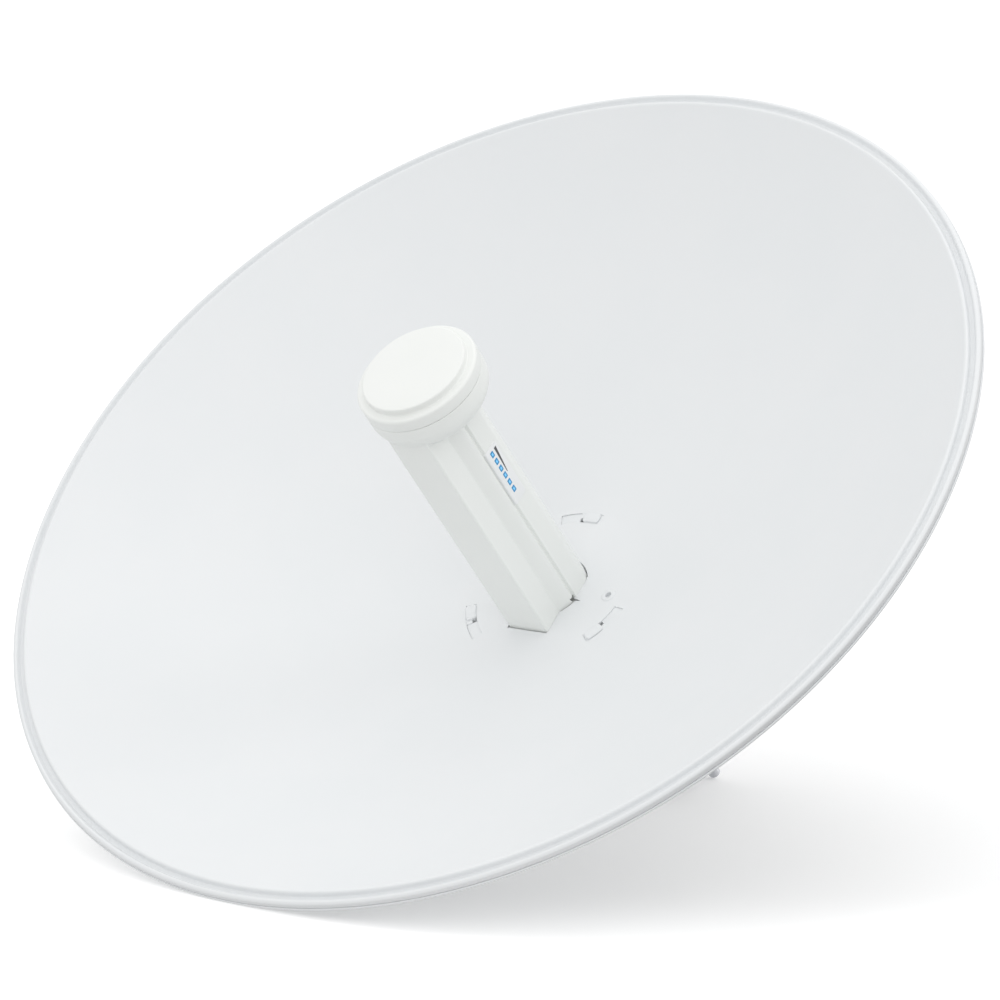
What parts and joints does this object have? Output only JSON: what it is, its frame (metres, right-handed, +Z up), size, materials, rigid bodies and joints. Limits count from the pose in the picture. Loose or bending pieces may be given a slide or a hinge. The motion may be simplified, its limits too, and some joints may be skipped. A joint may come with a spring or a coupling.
{
  "type": "parabolic dish antenna with a central feed tower and a pole bracket",
  "caption": "Parabolic dish antenna with a feed tower along its axis and a rear bracket that clamps to a pole, leaning back on the floor.",
  "frame": {"origin": "middle of the footprint on the floor that the antenna leans on", "axes": "+Z up, +X along the widest extent towards the side with the indicator panel, and the dish looks towards -Y and up"},
  "size_m": [0.6486, 0.4856, 0.4381],
  "materials": {
    "reflector_paint": "satin white paint",
    "housing_plastic": "satin off-white moulded plastic",
    "panel_film": "smooth film",
    "window_blue": "clear blue",
    "zinc_steel": "dull zinc plate",
    "bolt_steel": "bright zinc plate"
  },
  "bodies": {
    "root": {"reflector_dish": "reflector_paint", "mount_hub": "housing_plastic", "feed_lower_shell": "housing_plastic", "feed_upper_shell": "housing_plastic", "feed_collar": "housing_plastic", "feed_cap": "housing_plastic", "indicator_panel": "panel_film", "indicator_window_1": "window_blue", "indicator_window_2": "window_blue", "indicator_window_3": "window_blue", "indicator_window_4": "window_blue", "indicator_window_5": "window_blue", "indicator_window_6": "window_blue", "rear_housing": "housing_plastic", "port_cover": "housing_plastic", "dish_bracket": "zinc_steel", "pole_bracket": "zinc_steel", "pole_clamp": "zinc_steel", "clamp_bolt_left": "bolt_steel", "clamp_bolt_right": "bolt_steel", "clamp_washer_left": "bolt_steel", "clamp_washer_right": "bolt_steel", "clamp_nut_left": "bolt_steel", "clamp_nut_right": "bolt_steel", "pivot_bolt_left": "bolt_steel", "pivot_bolt_right": "bolt_steel", "pivot_nut_left": "bolt_steel", "pivot_nut_right": "bolt_steel", "lock_bolt_left": "bolt_steel", "lock_bolt_right": "bolt_steel", "lock_nut_left": "bolt_steel", "lock_nut_right": "bolt_steel", "web_screw_1": "bolt_steel", "web_screw_2": "bolt_steel", "web_screw_3": "bolt_steel", "web_screw_4": "bolt_steel"}
  },
  "joints": []
}
